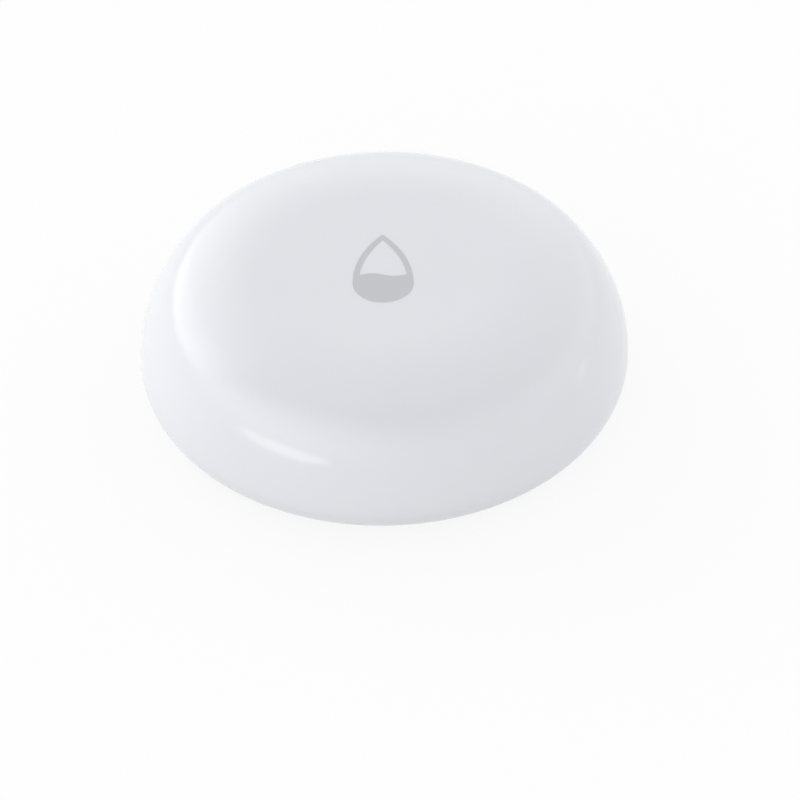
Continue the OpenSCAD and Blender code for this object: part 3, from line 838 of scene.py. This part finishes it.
    def build_drop(self) -> bmesh.types.BMesh:
        """Draws the printed drop: an even outline, filled up to a gently waved level.

        Returns:
            The print's bmesh, a thin plate in the crown.
        """
        ink = bmesh.new()
        up = Vector((0.0, 0.0, 1.0))
        base = self.drop_base * MM
        for stroke in (0.0, self.drop_stroke):
            turn = math.degrees(math.acos((self.arch_r - self.drop_r) / (self.arch_r - stroke)))
            line = Outline.begin(ink, Vector((0.0, (stroke - self.drop_tip) * MM, 0.0)))
            line.arc(Vector((0.0, base, 0.0)), up, 90.0, self.drop_steps[0])
            line.arc(Vector(((self.drop_r - self.arch_r) * MM, base, 0.0)), up, turn, self.drop_steps[1])
        bmesh.ops.mirror(ink, geom=ink.verts[:] + ink.edges[:], axis="X", merge_dist=MERGE_GAP)
        bmesh.ops.remove_doubles(ink, verts=ink.verts[:], dist=MERGE_GAP)
        inner = [edge for edge in ink.edges if self.inside_stroke(edge)]
        rim = bmesh.ops.bridge_loops(ink, edges=ink.edges[:])["faces"]
        pool = bmesh.ops.contextual_create(ink, geom=inner)["faces"]
        cut = bmesh.ops.bisect_plane(
            ink, geom=pool + inner + list({vert for edge in inner for vert in edge.verts}),
            plane_co=(0.0, self.drop_level * MM, 0.0), plane_no=(0.0, 1.0, 0.0),
        )
        level = [item for item in cut["geom_cut"] if isinstance(item, bmesh.types.BMEdge)]
        filled = (face for face in ink.faces if face not in rim)
        empty = [face for face in filled if face.calc_center_median().y > self.drop_level * MM]
        bmesh.ops.delete(ink, geom=empty, context="FACES_ONLY")
        ends = sorted(vert.co.x for edge in level for vert in edge.verts)
        waved = bmesh.ops.subdivide_edges(ink, edges=level, cuts=self.wave_cuts)["geom_inner"]
        for vert in only_verts(waved):
            along = (vert.co.x - ends[0]) / (ends[-1] - ends[0])
            vert.co.y += self.drop_wave * MM * math.sin(math.tau * along)
        bmesh.ops.triangulate(ink, faces=ink.faces[:])
        bmesh.ops.recalc_face_normals(ink, faces=ink.faces[:])
        plate = bmesh.ops.extrude_face_region(ink, geom=ink.faces[:])["geom"]
        bmesh.ops.translate(ink, vec=(0.0, 0.0, 2 * self.ink_t * MM), verts=only_verts(plate))
        bmesh.ops.translate(ink, vec=(0.0, 0.0, (self.top - 2 * self.ink_t) * MM), verts=ink.verts[:])
        bmesh.ops.recalc_face_normals(ink, faces=ink.faces[:])
        return ink

    def build(self, effects: SharedEffects) -> None:
        """Builds the cover and its print.

        Args:
            effects: The shared node groups.
        """
        shell = self.build_shell()
        self.add_inside(shell)
        bmesh.ops.scale(shell, vec=(1.0, 1.0, (self.top - self.ink_t) / self.top), verts=shell.verts[:])
        gloss = COVER_GLOSS.build(effects)
        cover = finish_piece(shell, "dome_cover", gloss, Rider.COVER, self.smooth_degrees)
        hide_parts("top_cover")
        finish_piece(self.build_drop(), "drop_print", DROP_INK.build(effects), Rider.COVER)


@dataclass
class SealedHousing:
    """The lower housing and the battery lid with their seals and turning marks. Sizes in millimetres."""

    base_z: float = 0.8
    lid_z: float = 0.9
    mark_r: float = 16.6
    mark_d: float = 2.0
    ring_d: float = 1.2
    closed_angle: float = 110.0
    open_angle: float = 70.0
    pointer_r: float = 12.2
    pointer_d: float = 2.6
    pointer_corner: float = 0.3
    ink_t: float = 0.02
    ink_sink: float = 0.03
    mark_steps: int = 64
    corner_steps: int = 8

    def ground(self, angle: float, radius: float, z: float) -> Matrix:
        """A place under the housing, with its Z axis pointing down."""
        place = Matrix.Rotation(math.radians(angle), 4, "Z") @ Matrix.Translation((radius * MM, 0.0, z * MM))
        return place @ Matrix.Rotation(math.pi, 4, "X")

    def thicken(self, ink: bmesh.types.BMesh) -> None:
        """Gives flat ink its thickness, from just inside the surface to just under it.

        Args:
            ink: The flat ink's bmesh.
        """
        grown = bmesh.ops.extrude_face_region(ink, geom=ink.faces[:])["geom"]
        bmesh.ops.translate(ink, vec=(0.0, 0.0, -(self.ink_t + self.ink_sink) * MM), verts=only_verts(grown))
        bmesh.ops.recalc_face_normals(ink, faces=ink.faces[:])

    def build_marks(self) -> bmesh.types.BMesh:
        """Builds the printed dot at the closed place and the printed ring at the open place.

        Returns:
            The marks' bmesh.
        """
        marks = bmesh.new()
        for angle, inner in ((self.closed_angle, 0.0), (self.open_angle, self.ring_d)):
            place = self.ground(angle, self.mark_r, self.base_z + self.ink_sink)
            disc = bmesh.ops.create_circle(
                marks, cap_ends=True, segments=self.mark_steps, radius=self.mark_d / 2 * MM, matrix=place
            )["verts"]
            face = disc[0].link_faces[0]
            if inner:
                width = (self.mark_d - inner) / 2 * MM
                bmesh.ops.inset_region(
                    marks, faces=[face], thickness=width, use_boundary=True, use_even_offset=True
                )
                bmesh.ops.delete(marks, geom=[face], context="FACES_ONLY")
        self.thicken(marks)
        return marks

    def build_pointer(self) -> bmesh.types.BMesh:
        """Builds the printed triangle on the lid that points at the marks.

        Returns:
            The pointer's bmesh.
        """
        pointer = bmesh.new()
        place = self.ground(self.closed_angle, self.pointer_r, self.lid_z + self.ink_sink)
        bmesh.ops.create_circle(
            pointer, cap_ends=True, segments=3, radius=self.pointer_d / 2 * MM,
            matrix=place @ Matrix.Rotation(-math.pi / 2, 4, "Z"),
        )
        bmesh.ops.bevel(
            pointer, geom=pointer.verts[:], offset=self.pointer_corner * MM, affect="VERTICES",
            segments=self.corner_steps, profile=0.5, material=-1,
        )
        self.thicken(pointer)
        return pointer

    def build(self, effects: SharedEffects) -> None:
        """Dresses the housing and the lid and adds their marks.

        Args:
            effects: The shared node groups.
        """
        satin = HOUSING_SATIN.build(effects)
        rubber = SEAL_RUBBER.build(effects)
        for node in ("base_housing", "battery_lid"):
            dress(node, satin)
        for node in ("cover_seal", "lid_seal", "probe_seal_left", "probe_seal_right", "cell_gasket"):
            dress(node, rubber)
        ink = MARK_INK.build(effects)
        finish_piece(self.build_marks(), "turn_marks", ink, Rider.HOUSING)
        finish_piece(self.build_pointer(), "turn_pointer", ink, Rider.LID)


class ControlBoard:
    """The round board with its switch, chips, contacts and fixings."""

    def build(self, effects: SharedEffects) -> None:
        """Dresses every piece on the board.

        Args:
            effects: The shared node groups.
        """
        finishes: dict[Finish, tuple[str, ...]] = {
            MASK_GREEN: ("circuit_board",),
            BRIGHT_STEEL: ("board_screws", "switch_frame", "crystal", "probe_nut_left", "probe_nut_right"),
            CHIP_EPOXY: ("switch_body", "radio_chip", "memory_chip", "small_resistors"),
            PLUNGER_SATIN: ("switch_plunger",),
            SPRING_METAL: (
                "switch_terminals", "negative_contact", "positive_contact", "probe_spring_left", "probe_spring_right"
            ),
            ANTENNA_CERAMIC: ("chip_antenna",),
            LED_RESIN: ("indicator_led",),
            CAPACITOR_EPOXY: ("buffer_capacitor",),
            CAPACITOR_CERAMIC: ("small_capacitors",),
        }
        for finish, nodes in finishes.items():
            material = finish.build(effects)
            for node in nodes:
                dress(node, material)


class CoinCell:
    """The coin cell between lid and board."""

    def build(self, effects: SharedEffects) -> None:
        """Dresses the cell's can and cap.

        Args:
            effects: The shared node groups.
        """
        steel = CELL_STEEL.build(effects)
        for node in ("cell_can", "cell_cap"):
            dress(node, steel)


@dataclass
class WaterProbes:
    """The two turned probes under the housing."""

    tone: Tone = (0.7, 0.7, 0.71)
    tarnish: Tone = (0.56, 0.56, 0.55)

    def build(self, effects: SharedEffects) -> None:
        """Dresses each probe with turning lines round its own axis.

        Args:
            effects: The shared node groups.
        """
        for node in ("probe_left", "probe_right"):
            low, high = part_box(node)
            steel = Metal(
                f"{node}_steel", tone=self.tone, tarnish=self.tarnish, roughness=0.2, grain=Grain.ROUND,
                grain_scale=14000.0, grain_depth=0.000002, centre=((low[0] + high[0]) / 2, 0.0, 0.0),
            )
            dress(node, steel.build(effects))


def heading(azimuth: float, elevation: float) -> Vector:
    """The direction from the sensor to a place in the room, in degrees, with azimuth 0 towards the front."""
    turn, lift = math.radians(azimuth), math.radians(elevation)
    return Vector((math.sin(turn) * math.cos(lift), -math.cos(turn) * math.cos(lift), math.sin(lift)))


@dataclass(frozen=True)
class RoomGlow:
    """A round soft patch of light on the room's walls. Angles in degrees."""

    azimuth: float
    elevation: float
    full: float
    faded: float
    strength: float

    def build(self, bench: NodeBench, towards: bpy.types.NodeSocket) -> bpy.types.NodeSocket:
        """Builds the patch.

        Args:
            bench: The world's bench.
            towards: Direction of the ray.

        Returns:
            The patch's light in that direction.
        """
        facing = bench.add("ShaderNodeVectorMath", operation="DOT_PRODUCT")
        bench.join(towards, facing.inputs[0])
        facing.inputs[1].default_value = heading(self.azimuth, self.elevation)
        edges = (math.cos(math.radians(angle)) for angle in (self.faded, self.full))
        return bench.span(facing.outputs["Value"], *edges, 0.0, self.strength)


@dataclass(frozen=True)
class Softbox:
    """An oval studio light that faces the sensor. Angles in degrees, lengths in metres."""

    name: str
    azimuth: float
    elevation: float
    distance: float
    width: float
    height: float
    power: float

    def build(self) -> None:
        """Hangs the light in its place."""
        data = bpy.data.lights.new(self.name, "AREA")
        data.shape = "ELLIPSE"
        data.size, data.size_y, data.energy = self.width, self.height, self.power
        lamp = bpy.data.objects.new(self.name, data)
        away = heading(self.azimuth, self.elevation)
        lamp.location = away * self.distance
        lamp.rotation_euler = away.to_track_quat("Z", "Y").to_euler()
        bpy.context.scene.collection.objects.link(lamp)


@dataclass
class Studio:
    """The pale floor, the soft light and the camera. The aim and the floor's drop are in millimetres."""

    elevation: float = 40.75
    roll: float = -0.99
    distance: float = 0.8
    lens: float = 351.9
    sensor: float = 36.0
    nearest: float = 0.01
    aim: Place = (1.5, -4.62, 1.27)
    floor_size: float = 6.0
    floor_drop: float = 0.02
    floor_tone: Tone = (0.9, 0.9, 0.9)
    floor_glow: float = 0.85
    horizon: float = 1.35
    zenith: float = 0.31
    ground_near: float = 0.25
    ground_far: float = 1.12
    mirror_top: float = 1.0
    mirror_band: tuple[float, float] = (0.1, 0.27)
    glows: tuple[RoomGlow, ...] = (
        RoomGlow(azimuth=-50.0, elevation=5.0, full=0.0, faded=60.0, strength=0.59),
        RoomGlow(azimuth=120.0, elevation=45.0, full=0.0, faded=60.0, strength=0.52),
        RoomGlow(azimuth=-132.0, elevation=24.0, full=16.0, faded=36.0, strength=1.56),
        RoomGlow(azimuth=-166.0, elevation=15.0, full=0.0, faded=32.0, strength=0.28),
    )
    softboxes: tuple[Softbox, ...] = (
        Softbox(
            "front_left_strip", azimuth=-45.0, elevation=4.8, distance=0.6, width=0.46, height=0.09, power=0.215
        ),
        Softbox("right_card", azimuth=100.0, elevation=2.8, distance=0.6, width=0.11, height=0.03, power=0.012),
    )

    def build_paper(self) -> bpy.types.Material:
        """Builds the floor's paper, which shows from above only and adds no light to the sensor.

        Returns:
            The finished material.
        """
        material = bpy.data.materials.new("floor_paper")
        material.use_nodes = True
        material.node_tree.nodes.clear()
        bench = NodeBench(material.node_tree)
        paper = bench.add("ShaderNodeBsdfDiffuse")
        paper.inputs["Color"].default_value = (*self.floor_tone, 1.0)
        pale, shown = (bench.add("ShaderNodeMixShader") for _ in range(2))
        pale.inputs["Fac"].default_value = self.floor_glow
        bench.join(paper.outputs[0], pale.inputs[1])
        bench.join(bench.add("ShaderNodeEmission").outputs[0], pale.inputs[2])
        upper = bench.math("SUBTRACT", 1.0, bench.add("ShaderNodeNewGeometry").outputs["Backfacing"])
        bench.join(bench.math("MULTIPLY", self.seen_rays(bench), upper), shown.inputs["Fac"])
        bench.join(bench.add("ShaderNodeBsdfTransparent").outputs[0], shown.inputs[1])
        bench.join(pale.outputs[0], shown.inputs[2])
        bench.join(shown.outputs[0], bench.add("ShaderNodeOutputMaterial").inputs["Surface"])
        return material

    def build_floor(self) -> None:
        """Lays the floor, a flat sheet that takes the sensor's shadow."""
        sheet = bmesh.new()
        level = Matrix.Translation((0.0, 0.0, -self.floor_drop * MM))
        bmesh.ops.create_grid(sheet, x_segments=1, y_segments=1, size=self.floor_size / 2, matrix=level)
        data = bpy.data.meshes.new("studio_floor")
        sheet.to_mesh(data)
        sheet.free()
        data.materials.append(self.build_paper())
        floor = bpy.data.objects.new("studio_floor", data)
        bpy.context.scene.collection.objects.link(floor)

    @staticmethod
    def seen_rays(bench: NodeBench) -> bpy.types.NodeSocket:
        """Tells the rays that see the background, straight or mirrored, from those that carry light.

        Args:
            bench: The bench of the floor or the world.

        Returns:
            A socket that is 1 for rays that see the background.
        """
        path = bench.add("ShaderNodeLightPath")
        mirrored = bench.math("MAXIMUM", path.outputs["Is Glossy Ray"], path.outputs["Is Transmission Ray"])
        return bench.math("MAXIMUM", path.outputs["Is Camera Ray"], mirrored)

    def build_sky(self) -> None:
        """Sets the room's soft light: pale walls, brighter sides, a window at the back left and a dimmer ground.

        The walls' low band is no brighter than white in reflections, so that the crown shows from the side too.
        """
        world = bpy.data.worlds.new("studio_room")
        world.use_nodes = True
        bench = NodeBench(world.node_tree)
        shade = world.node_tree.nodes["Background"]
        shade.inputs["Color"].default_value = (*EVEN, 1.0)
        towards = bench.add("ShaderNodeTexCoord").outputs["Generated"]
        parts = bench.add("ShaderNodeSeparateXYZ")
        bench.join(towards, parts.inputs[0])
        rise = parts.outputs["Z"]
        light = bench.span(rise, 0.0, 1.0, self.horizon, self.zenith)
        for glow in self.glows:
            light = bench.math("ADD", light, glow.build(bench, towards))
        low = bench.span(rise, *self.mirror_band, 1.0, 0.0)
        mirrored = bench.math("MULTIPLY", bench.add("ShaderNodeLightPath").outputs["Is Glossy Ray"], low)
        light = bench.span(mirrored, 0.0, 1.0, light, bench.math("MINIMUM", light, self.mirror_top))
        above = bench.math("GREATER_THAN", rise, 0.0)
        bounce = bench.span(rise, -1.0, 0.0, self.ground_near, self.ground_far)
        ground = bench.span(self.seen_rays(bench), 0.0, 1.0, bounce, 1.0)
        lower = bench.math("MULTIPLY", ground, bench.math("SUBTRACT", 1.0, above))
        bench.join(bench.math("ADD", bench.math("MULTIPLY", light, above), lower), shade.inputs["Strength"])
        bpy.context.scene.world = world

    def build_camera(self) -> None:
        """Places the camera above the front of the sensor, and makes it the scene's own."""
        data = bpy.data.cameras.new("studio_camera")
        data.lens, data.sensor_width, data.clip_start = self.lens, self.sensor, self.nearest
        camera = bpy.data.objects.new("studio_camera", data)
        away = heading(0.0, self.elevation)
        camera.location = Vector(self.aim) * MM + away * self.distance
        level = away.to_track_quat("Z", "Y")
        tilt = Quaternion((0.0, 0.0, 1.0), math.radians(self.roll))
        camera.rotation_euler = (level @ tilt).to_euler()
        bpy.context.scene.collection.objects.link(camera)
        bpy.context.scene.camera = camera

    def build(self) -> None:
        """Builds the whole studio."""
        self.build_floor()
        self.build_sky()
        self.build_camera()
        for box in self.softboxes:
            box.build()
        bpy.context.scene.view_settings.view_transform = "Standard"
        LOG.info("studio: floor, sky, camera and %d softboxes", len(self.softboxes))


def main() -> None:
    """Builds the studio and every sub-assembly in order."""
    logging.basicConfig(level=logging.INFO, format="%(name)s: %(message)s")
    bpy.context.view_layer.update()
    Studio().build()
    effects = SharedEffects()
    for assembly in (DomeCover(), SealedHousing(), ControlBoard(), CoinCell(), WaterProbes()):
        assembly.build(effects)


if __name__ == "__main__":
    main()
